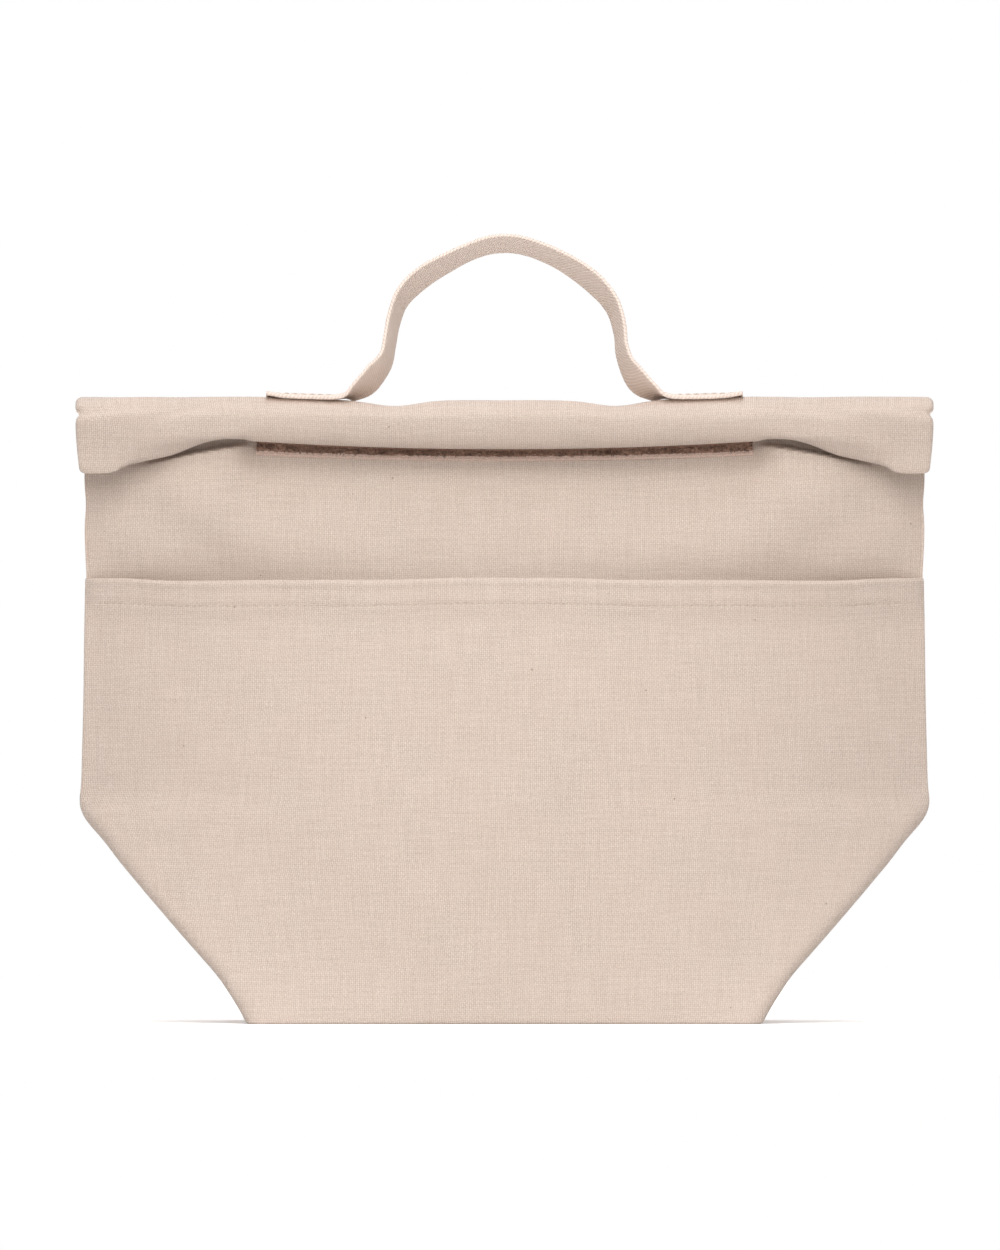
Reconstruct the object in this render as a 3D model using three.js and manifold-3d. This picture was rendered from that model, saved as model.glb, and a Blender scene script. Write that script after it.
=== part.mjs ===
// A roll-top cooler bag in cotton canvas, standing on its base with the mouth rolled twice towards the front.
// Millimetres, +Z up, +X to the right as the front is seen, the front faces -Y.
import * as THREE from "three";
import { mergeVertices } from "three/addons/utils/BufferGeometryUtils.js";
import Module from "manifold-3d";

const wasm = await Module();
wasm.setup();

// Sheets and clearances
const canvas = 0.9;
const foam = 2;
const lining = 0.4;
const board = 2;
const gap = 0.3;
const strapThickness = 2;
const tapeThickness = 1.2;
const thread = 0.5;
const threadRise = 0.3;

// Body, measured over the front and back panels
const baseWidth = 199.6;
const footWidth = 220.6;
const shoulderWidth = 320;
const bodyWidth = 332.8;
const neckWidth = 336;
const footHeight = 19;
const shoulderHeight = 77;
const gussetHeight = 90;
const neckBelowTop = 25;
const baseDepth = 138;
const belly = 5;
const neckSlot = 5;
const sideRoundness = 2.2;
const neckRoundness = 8;

// Front pocket
const pocketHeight = 177.6;
const pocketGape = 13;
const hemDepth = 10;

// Roll
const rollTop = 249;
const rollWidth = 340;
const rollBend = 6.5;
const sleeveSlot = 1.4;
const foldClearance = 1;
const foldBelowTop = 17.7;
const flapHeight = 9.2;
const bendDrop = 2.5;
const endDrop = 11;
const hingeBelowFold = 4.8;

// Hook-and-loop tape
const tapeLength = 200;
const loopHeight = 16;
const tapeBelowTop = 23;
const stitchInset = 0.4;

// Handle
const strapWidth = 22;
const footLength = 30;
const legSpacing = 93.6;
const riseRadius = 18;
const loopHeightAboveFoot = 64.5;
const archHeight = 30.5;
const leanDegrees = 13;
const boxStitchInset = 3;

// What follows from them
const wall = canvas + gap + foam + gap + lining;
const sleeve = 2 * (canvas + gap + lining) + sleeveSlot;
const neckHalfDepth = neckSlot / 2 + wall;
const pocketLayer = canvas + gap;
const neckTop = rollTop - rollBend;
const neckHeight = rollTop - neckBelowTop;
const foldBottom = rollTop - foldBelowTop;
const loopBottom = rollTop - tapeBelowTop;
const loopFront = -(neckHalfDepth + gap + tapeThickness);
const hookFront = loopFront - gap - tapeThickness;
const flapBack = hookFront - gap;
const foldBack = flapBack - sleeve - foldClearance;
const foldFront = foldBack - sleeve;
const flapTop = foldBottom + flapHeight;
const ridgeBack = neckHalfDepth - rollBend;
const ridgeFront = foldFront + rollBend;
const ridgeMiddle = (ridgeBack + ridgeFront) / 2;
const bendMiddle = (foldFront + flapBack) / 2;
const bendHalf = (flapBack - foldFront) / 2;
const handleAxisHeight = rollTop + gap + strapThickness / 2;
const lean = THREE.MathUtils.degToRad(leanDegrees);

// A hinge that keeps the cloth's length through a bend lies inside the corner by this much
const hingeInset = rollBend * (1 - Math.PI / 4);
const ridgeHinge = [0, neckHalfDepth - hingeInset, rollTop - hingeInset];
const foldHinge = [0, foldFront + hingeInset, rollTop - hingeInset];
const flapHinge = [0, bendMiddle, foldBottom - hingeBelowFold];

const finish = {
  canvas: { color: 0xdac8b9, roughness: 0.95, metalness: 0 },
  foam: { color: 0xf0eeea, roughness: 0.8, metalness: 0 },
  board: { color: 0x8b8b88, roughness: 0.6, metalness: 0 },
  foil: { color: 0xc9ccd0, roughness: 0.3, metalness: 0.8 },
  tape: { color: 0xc9b5a4, roughness: 0.9, metalness: 0 },
  webbing: { color: 0xd6c4b8, roughness: 0.85, metalness: 0 },
  thread: { color: 0xe0d2c4, roughness: 0.7, metalness: 0 },
};

const cooler = new THREE.Group();
const handleHinge = [0, ridgeMiddle, handleAxisHeight];
cooler.userData.hinges = { ridgeHinge, foldHinge, flapHinge, handleHinge };

// Adds one named mesh to a group
function addPiece(group, name, geometry, look) {
  const mesh = new THREE.Mesh(geometry, new THREE.MeshStandardMaterial(finish[look]));
  mesh.name = name;
  group.add(mesh);
  return mesh;
}

// A closed geometry as a solid for cutting and joining
function solidOf(geometry) {
  const bare = geometry.clone();
  bare.deleteAttribute("normal");
  bare.deleteAttribute("uv");
  const merged = mergeVertices(bare, 1e-4);
  const corners = merged.index.array;
  const kept = [];
  for (let i = 0; i < corners.length; i += 3) {
    const [a, b, c] = [corners[i], corners[i + 1], corners[i + 2]];
    if (a !== b && b !== c && a !== c) kept.push(a, b, c);
  }
  const triVerts = new Uint32Array(kept);
  const vertProperties = merged.attributes.position.array;
  return new wasm.Manifold(new wasm.Mesh({ numProp: 3, vertProperties, triVerts }));
}

// A solid's surface as a geometry
function geometryOf(solid) {
  const mesh = solid.getMesh();
  const geometry = new THREE.BufferGeometry();
  geometry.setAttribute("position", new THREE.BufferAttribute(mesh.vertProperties, 3));
  geometry.setIndex(new THREE.BufferAttribute(mesh.triVerts, 1));
  geometry.computeVertexNormals();
  return geometry;
}

// A skin over rings of points; each ring is a chain out and a chain back with as many points
function loft(rings) {
  const count = rings[0].length;
  const points = rings.flat(2);
  const faces = [];
  for (let level = 0; level + 1 < rings.length; level += 1) {
    for (let i = 0; i < count; i += 1) {
      const a = level * count + i;
      const b = level * count + ((i + 1) % count);
      faces.push(a, b, b + count, a, b + count, a + count);
    }
  }
  const last = (rings.length - 1) * count;
  for (let i = 0; i + 1 < count / 2; i += 1) {
    const [a, b, c, d] = [i, i + 1, count - 2 - i, count - 1 - i];
    faces.push(a, d, c, a, c, b);
    faces.push(last + a, last + b, last + c, last + a, last + c, last + d);
  }
  const geometry = new THREE.BufferGeometry();
  geometry.setAttribute("position", new THREE.Float32BufferAttribute(points, 3));
  geometry.setIndex(faces);
  return geometry;
}

// A box between two corners
function boxBetween(low, high) {
  const size = high.map((value, i) => value - low[i]);
  const middle = high.map((value, i) => (value + low[i]) / 2);
  return new THREE.BoxGeometry(...size).translate(...middle);
}

// Half the bag's width at a height: steep above the base, slanting out along the boxed corner, then upright
const sideOutline = [
  [0, baseWidth / 2],
  [footHeight, footWidth / 2],
  [shoulderHeight, shoulderWidth / 2],
  [gussetHeight, bodyWidth / 2],
  [pocketHeight, bodyWidth / 2],
  [neckTop, neckWidth / 2],
];
function halfWidthAt(z) {
  const last = sideOutline.length - 1;
  if (z <= 0) return sideOutline[0][1];
  if (z >= sideOutline[last][0]) return sideOutline[last][1];
  const i = sideOutline.findIndex((point) => point[0] > z);
  const [[z0, w0], [z1, w1]] = [sideOutline[i - 1], sideOutline[i]];
  return w0 + ((w1 - w0) * (z - z0)) / (z1 - z0);
}

// How much wider a slanting side is than it is thick
function sideSlant(z) {
  const reach = footHeight / 3;
  const slope = (halfWidthAt(z + reach) - halfWidthAt(z - reach)) / (2 * reach);
  return Math.hypot(1, slope);
}

function halfBaseDepth(side) {
  return side < 0 ? baseDepth / 2 - pocketLayer : baseDepth / 2;
}

// Half the depth at the bag's corner, which runs out where the boxed corner meets the side seam
function cornerDepthAt(z, side) {
  return halfBaseDepth(side) * THREE.MathUtils.clamp(1 - z / gussetHeight, 0, 1);
}

// Half the depth in the middle of the bag: a wedge with a slight belly, closed to the neck
function middleDepthAt(z, side) {
  const share = THREE.MathUtils.clamp(z / neckHeight, 0, 1);
  const wedge = THREE.MathUtils.lerp(halfBaseDepth(side), neckHalfDepth, share);
  return wedge + belly * Math.sin(Math.PI * share);
}

// Half the depth at a point across the bag
function depthAt(x, z, side) {
  const corner = cornerDepthAt(z, side);
  const middle = middleDepthAt(z, side);
  const share = Math.abs(x) / halfWidthAt(z);
  return corner + (middle - corner) * (1 - share ** roundnessAt(z));
}

function roundnessAt(z) {
  const share = THREE.MathUtils.smoothstep(z, (gussetHeight + neckHeight) / 2, neckHeight);
  return THREE.MathUtils.lerp(sideRoundness, neckRoundness, share);
}

// How far the pocket stands away from the front panel
function gapeAt(x, z) {
  const share = Math.min(Math.abs(x) / halfWidthAt(z), 1);
  const height = THREE.MathUtils.clamp(z / pocketHeight, 0, 1);
  return pocketGape * (1 - share ** 2) * height ** 1.5;
}

const across = [0, 0.2, 0.4, 0.6, 0.78, 0.92, 1];
const stations = [...across.slice(1).reverse().map((share) => -share), ...across];
const margin = 2;
const leastBulge = 1e-6; // Keeps a section with no bulge from dividing by zero
const midHeights = [0.2, 0.5, 0.8].map((share) => THREE.MathUtils.lerp(gussetHeight, pocketHeight, share));
const gussetHeights = [0.33, 0.66].map((share) => THREE.MathUtils.lerp(footHeight, shoulderHeight, share));
const levels = [
  -margin,
  0,
  footHeight / 2,
  footHeight,
  ...gussetHeights,
  shoulderHeight,
  gussetHeight,
  ...midHeights,
  pocketHeight,
  (pocketHeight + neckHeight) / 2,
  neckHeight,
  neckTop + margin,
];

// One side of the bag's section at a height, inset from the panels' outer face
function sectionChain(z, side, inset, gape) {
  const half = halfWidthAt(z);
  const corner = cornerDepthAt(z, side);
  const middle = middleDepthAt(z, side);
  const tip = half * ((middle - inset) / (middle - corner + leastBulge)) ** (1 / roundnessAt(z));
  const reach = Math.min(half - inset * sideSlant(z), tip);
  return stations.map((share) => {
    const x = Math.sign(share) * Math.min(Math.abs(share) * half, reach);
    const edge = Math.abs(share) === 1 ? Math.sign(share) * reach : x;
    const stand = side < 0 ? gape * gapeAt(edge, z) : 0;
    const y = Math.max(depthAt(edge, z, side) - inset + stand, gap / 3);
    return [edge, side * y, z];
  });
}

// The space inside the bag's outer face, inset by a distance
function bodySolid(inset, gape = 0) {
  const rings = levels.map((z) => [
    ...sectionChain(z, -1, inset, gape),
    ...sectionChain(z, 1, inset, 0).reverse(),
  ]);
  return solidOf(loft(rings));
}

// One half of the layer between two insets
function wallLayer(outer, inner, side, low, high, gape = 0) {
  const reach = bodyWidth + baseDepth;
  const near = side * (gap / 2);
  const far = side * reach;
  const half = boxBetween([-reach, Math.min(near, far), low], [reach, Math.max(near, far), high]);
  return geometryOf(bodySolid(outer, gape).subtract(bodySolid(inner, gape)).intersect(solidOf(half)));
}

// A plate across the bag's base
function basePlate(inset, low, high) {
  const reach = bodyWidth + baseDepth;
  const slab = boxBetween([-reach, -reach, low], [reach, reach, high]);
  return geometryOf(bodySolid(inset).intersect(solidOf(slab)));
}

// Walls, from the outside in: canvas, foam, foil lining
const foamInset = canvas + gap;
const liningInset = foamInset + foam + gap;
const boardBottom = canvas + gap;
const baseFoamBottom = boardBottom + board + gap;
const baseLiningBottom = baseFoamBottom + foam + gap;
const wallTop = neckTop - gap;
for (const [word, side] of [["front", -1], ["back", 1]]) {
  addPiece(cooler, `${word}_panel`, wallLayer(0, canvas, side, 0, wallTop), "canvas");
  const foamLayer = wallLayer(foamInset, foamInset + foam, side, boardBottom, wallTop);
  addPiece(cooler, `${word}_foam`, foamLayer, "foam");
  const liningLayer = wallLayer(liningInset, liningInset + lining, side, baseLiningBottom, wallTop);
  addPiece(cooler, `${word}_lining`, liningLayer, "foil");
}
const plateInset = liningInset;
addPiece(cooler, "base_panel", basePlate(canvas + gap, 0, canvas), "canvas");
addPiece(cooler, "base_board", basePlate(plateInset, boardBottom, boardBottom + board), "board");
addPiece(cooler, "base_foam", basePlate(plateInset, baseFoamBottom, baseFoamBottom + foam), "foam");
const liningPlate = basePlate(liningInset + lining + gap, baseLiningBottom, baseLiningBottom + lining);
addPiece(cooler, "base_lining", liningPlate, "foil");

// Front pocket, sewn into the side and base seams
const pocket = wallLayer(-pocketLayer, -gap, -1, 0, pocketHeight, 1);
addPiece(cooler, "pocket_panel", pocket, "canvas");
const hemRow = pocketHeight - hemDepth;
const rowInset = pocketLayer + gap;
const hemThread = wallLayer(-rowInset - threadRise, -rowInset, -1, hemRow - thread / 2, hemRow + thread / 2, 1);
addPiece(cooler, "pocket_hem_stitching", hemThread, "thread");

// Loop tape across the neck's front
const halfTape = tapeLength / 2;
const loopLow = [-halfTape, loopFront, loopBottom];
const loopHigh = [halfTape, loopFront + tapeThickness, loopBottom + loopHeight];
addPiece(cooler, "loop_strip", boxBetween(loopLow, loopHigh), "tape");
const loopRow = boxBetween(
  [-halfTape + stitchInset, loopFront - gap - threadRise, loopBottom + stitchInset],
  [halfTape - stitchInset, loopFront - gap, loopBottom + stitchInset + thread],
);
addPiece(cooler, "loop_strip_stitching", loopRow, "thread");

// A flat ring with round ends, the section of the closed sleeve between two insets
function sleeveOutline(inset) {
  const radius = sleeve / 2 - inset;
  const centre = rollWidth / 2 - sleeve / 2;
  const shape = new THREE.Shape();
  shape.moveTo(-centre, -radius);
  shape.lineTo(centre, -radius);
  shape.absarc(centre, 0, radius, -Math.PI / 2, Math.PI / 2, false);
  shape.lineTo(-centre, radius);
  shape.absarc(-centre, 0, radius, Math.PI / 2, (3 * Math.PI) / 2, false);
  return shape;
}

function sleeveSolid(outer, inner, length) {
  const settings = { depth: length, bevelEnabled: false, curveSegments: 6 };
  const shape = sleeveOutline(outer);
  shape.holes.push(sleeveOutline(inner));
  return solidOf(new THREE.ExtrudeGeometry(shape, settings));
}

// The canvas on one side of the sleeve, up to the side seams
function sleeveCanvas(side, length) {
  const near = side * (gap / 2);
  const far = side * sleeve;
  const low = [-rollWidth, Math.min(near, far), -gap];
  const high = [rollWidth, Math.max(near, far), length + gap];
  return geometryOf(sleeveSolid(0, canvas, length).intersect(solidOf(boxBetween(low, high))));
}

function sleeveLining(length) {
  const inset = canvas + gap;
  return geometryOf(sleeveSolid(inset, inset + lining, length));
}

// One straight run of the rolled mouth: the back panel's canvas, the front panel's canvas and the lining
function addRun(word, length) {
  const run = new THREE.Group();
  addPiece(run, `${word}_back_canvas`, sleeveCanvas(1, length), "canvas");
  addPiece(run, `${word}_front_canvas`, sleeveCanvas(-1, length), "canvas");
  addPiece(run, `${word}_lining`, sleeveLining(length), "foil");
  cooler.add(run);
  return run;
}

// The ridge runs to the front, the fold down and the mouth flap up again
const ridgeLength = ridgeBack - ridgeFront - 2 * gap;
const ridge = addRun("ridge", ridgeLength);
ridge.rotation.x = Math.PI / 2;
ridge.position.set(0, ridgeBack - gap, rollTop - sleeve / 2);
const foldLength = neckTop - foldBottom - 2 * gap;
const fold = addRun("fold", foldLength);
fold.rotation.x = Math.PI;
fold.position.set(0, foldFront + sleeve / 2, neckTop - gap);
const flap = addRun("flap", flapHeight - gap);
flap.position.set(0, flapBack - sleeve / 2, foldBottom + gap);

// A band of canvas bent round a quarter circle, as its section in depth and height
function quarterBend(centreDepth, centreHeight, facing) {
  const trim = gap / rollBend;
  const steps = 6;
  const angles = [];
  for (let i = 0; i <= steps; i += 1) angles.push(trim + ((Math.PI / 2 - 2 * trim) * i) / steps);
  const at = (radius, angle) => [
    centreDepth + facing * radius * Math.cos(angle),
    centreHeight + radius * Math.sin(angle),
  ];
  const outer = angles.map((angle) => at(rollBend, angle));
  const inner = angles.map((angle) => at(rollBend - canvas, angle)).reverse();
  return [...outer, ...inner];
}

// Sections in depth and height, carried across the bag's width; dropAt deepens them towards the ends
function carryAcross(places, sectionAt) {
  const rings = places.map((x) => sectionAt(x).map(([y, z]) => [x, y, z]));
  return geometryOf(solidOf(facingOut(loft(rings))));
}

// Turns a geometry's faces round where they point inwards
function facingOut(geometry) {
  const points = geometry.attributes.position;
  const faces = geometry.index.array;
  const corner = (i) => new THREE.Vector3().fromBufferAttribute(points, faces[i]);
  let volume = 0;
  for (let i = 0; i < faces.length; i += 3) volume += corner(i).dot(corner(i + 1).cross(corner(i + 2)));
  if (volume > 0) return geometry;
  for (let i = 0; i < faces.length; i += 3) [faces[i], faces[i + 1]] = [faces[i + 1], faces[i]];
  return geometry;
}

const halfRoll = rollWidth / 2;
const rollEnds = [-halfRoll, halfRoll];
const backBend = carryAcross(rollEnds, () => quarterBend(ridgeBack, neckTop, 1));
addPiece(cooler, "back_bend", backBend, "canvas");
const frontBend = carryAcross(rollEnds, () => quarterBend(ridgeFront, neckTop, -1));
addPiece(cooler, "front_bend", frontBend, "canvas");

// The lower bend hangs lower towards the roll's ends, past the tape that holds it straight
function dropAt(x) {
  const share = THREE.MathUtils.smoothstep(Math.abs(x), halfTape, halfRoll);
  return THREE.MathUtils.lerp(bendDrop, endDrop, share);
}

function lowerBend(depth, drop, thickness, from, to) {
  const steps = 8;
  const outer = [];
  const inner = [];
  for (let i = 0; i <= steps; i += 1) {
    const angle = from + ((to - from) * i) / steps;
    outer.push([bendMiddle + depth * Math.cos(angle), foldBottom + drop * Math.sin(angle)]);
    const [thinDepth, thinDrop] = [depth - thickness, drop - thickness];
    inner.push([bendMiddle + thinDepth * Math.cos(angle), foldBottom + thinDrop * Math.sin(angle)]);
  }
  return [...outer, ...inner.reverse()];
}

const bendTrim = gap / bendHalf;
const bendPlaces = [];
const endSteps = 5;
for (let i = 0; i <= endSteps; i += 1) bendPlaces.push(halfTape + ((halfRoll - halfTape) * i) / endSteps);
const bottomPlaces = [...bendPlaces.map((x) => -x).reverse(), ...bendPlaces];
const bottomBend = carryAcross(bottomPlaces, (x) =>
  lowerBend(bendHalf, dropAt(x), canvas, Math.PI + bendTrim, 2 * Math.PI - bendTrim),
);
addPiece(cooler, "bottom_bend", bottomBend, "canvas");

// Hook tape: up the mouth flap's back and round the rear quarter of the lower bend
const hookBend = lowerBend(bendHalf + gap + tapeThickness, bendDrop + gap + tapeThickness, tapeThickness,
  1.5 * Math.PI, 2 * Math.PI);
const bendRing = hookBend.length / 2;
const hookTop = flapTop - gap;
const hookOuter = [...hookBend.slice(0, bendRing), [hookFront + tapeThickness, hookTop]];
const hookInner = [[hookFront, hookTop], ...hookBend.slice(bendRing)];
const tapeEnds = [-halfTape, halfTape];
addPiece(cooler, "hook_strip", carryAcross(tapeEnds, () => [...hookOuter, ...hookInner]), "tape");

// Webbing handle: two feet sewn on the ridge, two rises that turn upright, and the loop
// A band of webbing along points of place and height above the feet, leaning back by an angle at each
function strap(points, leanOf) {
  const rings = points.map(([x, height], i) => {
    const [x0, h0] = points[Math.max(i - 1, 0)];
    const [x1, h1] = points[Math.min(i + 1, points.length - 1)];
    const length = Math.hypot(x1 - x0, h1 - h0);
    const normal = [-(h1 - h0) / length, (x1 - x0) / length];
    const angle = leanOf(i / (points.length - 1));
    const corner = (along, off) => {
      const up = height + (normal[1] * off * strapThickness) / 2;
      const wide = (along * strapWidth) / 2;
      return [
        x + (normal[0] * off * strapThickness) / 2,
        ridgeMiddle + up * Math.sin(angle) + wide * Math.cos(angle),
        handleAxisHeight + up * Math.cos(angle) - wide * Math.sin(angle),
      ];
    };
    return [corner(-1, -1), corner(1, -1), corner(1, 1), corner(-1, 1)];
  });
  return geometryOf(solidOf(facingOut(loft(rings))));
}

const halfLegs = legSpacing / 2;
const footInner = halfLegs + riseRadius;
const footOuter = footInner + footLength;
for (const [word, side] of [["left", -1], ["right", 1]]) {
  const [xLow, xHigh] = side < 0 ? [-footOuter, -footInner] : [footInner, footOuter];
  const footLow = [xLow, ridgeMiddle - strapWidth / 2, rollTop + gap];
  const footHigh = [xHigh, ridgeMiddle + strapWidth / 2, rollTop + gap + strapThickness];
  addPiece(cooler, `${word}_handle_foot`, boxBetween(footLow, footHigh), "webbing");
  const threadBottom = footHigh[2] + gap;
  const [halfLong, halfWide] = [footLength / 2 - boxStitchInset, strapWidth / 2 - boxStitchInset];
  const corners = (dx, dy) => [[-dx, -dy], [dx, -dy], [dx, dy], [-dx, dy]].map((point) => new THREE.Vector2(...point));
  const frame = new THREE.Shape(corners(halfLong, halfWide));
  frame.holes.push(new THREE.Path(corners(halfLong - thread, halfWide - thread)));
  const stitches = new THREE.ExtrudeGeometry(frame, { depth: threadRise, bevelEnabled: false });
  const mesh = addPiece(cooler, `${word}_foot_stitching`, stitches, "thread");
  mesh.position.set((xLow + xHigh) / 2, ridgeMiddle, threadBottom);
  const riseSteps = 6;
  const riseTrim = gap / riseRadius;
  const risePoints = [];
  for (let i = 0; i <= riseSteps; i += 1) {
    const angle = riseTrim + ((Math.PI / 2 - 2 * riseTrim) * i) / riseSteps;
    risePoints.push([side * (footInner - riseRadius * Math.sin(angle)), riseRadius * (1 - Math.cos(angle))]);
  }
  const rise = strap(risePoints, (share) => lean * THREE.MathUtils.smoothstep(share, 0, 1));
  addPiece(cooler, `${word}_handle_rise`, rise, "webbing");
}

const archTop = loopHeightAboveFoot - strapThickness / 2;
const archSteps = 16;
const loopPoints = [[-halfLegs, riseRadius]];
for (let i = 0; i <= archSteps; i += 1) {
  const angle = Math.PI * (1 - i / archSteps);
  loopPoints.push([halfLegs * Math.cos(angle), archTop - archHeight + archHeight * Math.sin(angle)]);
}
loopPoints.push([halfLegs, riseRadius]);
addPiece(cooler, "handle_loop", strap(loopPoints, () => lean), "webbing");

export default cooler;
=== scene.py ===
import bpy
import bmesh
import random
from bisect import bisect_right
from functools import cache, partial
from math import copysign, cos, dist, exp, hypot, pi, radians, sin, sqrt, tan
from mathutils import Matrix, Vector, noise


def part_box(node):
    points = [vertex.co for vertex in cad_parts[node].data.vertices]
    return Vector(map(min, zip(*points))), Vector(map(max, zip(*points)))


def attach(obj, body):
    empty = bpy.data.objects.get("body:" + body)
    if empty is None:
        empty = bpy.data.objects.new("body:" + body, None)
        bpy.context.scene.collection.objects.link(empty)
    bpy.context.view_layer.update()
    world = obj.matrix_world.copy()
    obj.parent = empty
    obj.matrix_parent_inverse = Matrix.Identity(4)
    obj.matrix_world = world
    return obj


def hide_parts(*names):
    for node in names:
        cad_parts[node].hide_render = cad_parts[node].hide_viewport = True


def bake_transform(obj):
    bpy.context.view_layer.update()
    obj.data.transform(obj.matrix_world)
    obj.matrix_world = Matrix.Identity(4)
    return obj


# A roll-top cooler bag in natural cotton canvas: its cloth, webbing, tapes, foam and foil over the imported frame.
# Dictionaries hold millimetres and meshes hold metres. The front faces -Y, +X is to the right, +Z is up.
# A cloth is a grid whose points are sent to their places by formula. No cloth is simulated.

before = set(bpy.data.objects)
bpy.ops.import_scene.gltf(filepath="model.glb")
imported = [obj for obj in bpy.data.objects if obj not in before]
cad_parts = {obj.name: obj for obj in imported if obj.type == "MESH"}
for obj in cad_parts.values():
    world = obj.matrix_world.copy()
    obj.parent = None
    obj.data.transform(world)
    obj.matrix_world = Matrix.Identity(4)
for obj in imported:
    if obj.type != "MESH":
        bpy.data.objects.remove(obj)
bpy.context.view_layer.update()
mm = 0.001
print("frame loaded")


def clamp(value, low=0.0, high=1.0):
    return max(low, min(high, value))


def mix(start, end, share):
    return start + (end - start) * share


def smooth(low, high, value):
    share = clamp((value - low) / (high - low))
    return share * share * (3 - 2 * share)


def hump(centre, width, value):
    return exp(-(((value - centre) / width) ** 2))


def noiseAt(x, y, z=0.0):
    return noise.noise(Vector((x, y, z)))


# Evenly spaced values, both ends among them
def steps(start, end, count):
    return [mix(start, end, i / count) for i in range(count + 1)]


# Evenly spaced points after the start, the end among them
def leg(start, end, count):
    return [(mix(start[0], end[0], i / count), mix(start[1], end[1], i / count)) for i in range(1, count + 1)]


# Evenly spaced angles of a quarter turn after its start
def quarter(count):
    return [radians(90 * i / count) for i in range(1, count + 1)]


def weigh(weights, points):
    return tuple(sum(w * p[n] for w, p in zip(weights, points)) for n in (0, 1))


def lengthsOf(points):
    lengths = [0.0]
    for a, b in zip(points, points[1:]):
        lengths.append(lengths[-1] + dist(a, b))
    return lengths


# One coordinate of a frame node's box in millimetres: end is 0 for the low side and 1 for the high side
def edgeOf(node, end, axis):
    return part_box(node)[end]["xyz".index(axis)] / mm


# Materials: colours are sRGB hex values, turned to linear here
def linear(hexCode):
    parts = [int(hexCode[i:i + 2], 16) / 255 for i in (1, 3, 5)]
    return [p / 12.92 if p <= 0.04045 else ((p + 0.055) / 1.055) ** 2.4 for p in parts] + [1.0]


# Adds a node, whose kind may name an operation too. Values without names go to its sockets in turn. A property is set,
# a socket given a number or a hex colour is set, and one given a socket is linked.
def addNode(tree, kind, values=(), take=0):
    kind, _, operation = kind.partition(" ")
    node = tree.nodes.new("ShaderNode" + kind)
    if operation:
        node.operation = operation
    for key, value in values.items() if isinstance(values, dict) else enumerate(values):
        if isinstance(key, str) and hasattr(node, key):
            setattr(node, key, value)
        elif isinstance(value, bpy.types.NodeSocket):
            tree.links.new(value, node.inputs[key])
        else:
            node.inputs[key].default_value = linear(value) if isinstance(value, str) else value
    return node if take is None else node.outputs[take]


# A material, and addNode for its own tree
def newMaterial(name):
    material = bpy.data.materials.new(name)
    material.use_nodes = True
    material.node_tree.nodes.clear()
    return material, partial(addNode, material.node_tree)


# Ends a material: the last mix of its colours, its relief, and its roughness, specular, sheen and metal
def finishSurface(add, look, height, share, low, high):
    colour = add("Mix", {"data_type": "RGBA", 0: share, 6: low, 7: high}, 2)
    bump = add("Bump", {"Strength": look["bump"], "Distance": look["relief"], "Height": height})
    finish = zip(("Roughness", "Specular IOR Level", "Sheen Weight", "Metallic"), look["finish"])
    surface = add("BsdfPrincipled", {"Base Color": colour, "Normal": bump, **dict(finish)})
    add("OutputMaterial", (surface,), None)


# Thread coordinates from the cloth's own UV map, which is in millimetres of flat cloth, pulled a little out of true
def threadSpace(add, look):
    uv = add("UVMap", {"uv_map": "cloth"})
    drift = add("TexNoise", {"Vector": uv, "Scale": 0.11, "Detail": 3.0}, "Color")
    centred = add("VectorMath SUBTRACT", (drift, (0.5, 0.5, 0.5)))
    wander = (look["wander"], look["wander"], 0)
    pulled = add("VectorMath MULTIPLY_ADD", (centred, wander, uv))
    inThreads = add("VectorMath DIVIDE", (pulled, (*look["pitch"], 1)))
    split = add("SeparateXYZ", (inThreads,), None)
    return uv, split.outputs[0], split.outputs[1]


# Height of a plain weave from 0 in the gaps to about 1 on the crossings, with the upright threads a little proud
def plainWeave(add, across, along):
    ramps = [add("Math PINGPONG", (way, 0.5)) for way in (across, along)]
    warp, weft = [add("Math POWER", (ramp, 0.5)) for ramp in ramps]
    warpBow = add("Math MULTIPLY_ADD", (weft, 0.75, 0.85))
    weftBow = add("Math MULTIPLY_ADD", (warp, 0.75, 0.6))
    warpOver = add("Math MULTIPLY", (warp, warpBow))
    weftOver = add("Math MULTIPLY", (weft, weftBow))
    numbers = [add("Math FLOOR", (way,)) for way in (across, along)]
    total = add("Math ADD", (numbers[0], numbers[1]))
    parity = add("Math FLOORED_MODULO", (total, 2.0))
    return add("Mix", {"data_type": "FLOAT", 0: parity, 2: warpOver, 3: weftOver})


# Cotton canvas, plain weave of thick unbleached yarn: matt, with round thread crossings, an uneven yarn that leaves
# faint streaks both ways, cloudy patches and a few dark flecks of seed husk, and painted shade in the gaps between
# threads. Its threads are 0.75 and 0.8 mm apart.
canvasLook = {"pitch": (0.75, 0.8), "wander": 1.6, "light": "#EFE2D6", "dark": "#AF9A8B", "blush": "#DEC4B6",
              "fleck": "#9A8372", "fleckSpacing": 9.0, "bump": 0.9, "relief": 0.0002,
              "finish": (0.92, 0.16, 0.2)}


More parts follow.
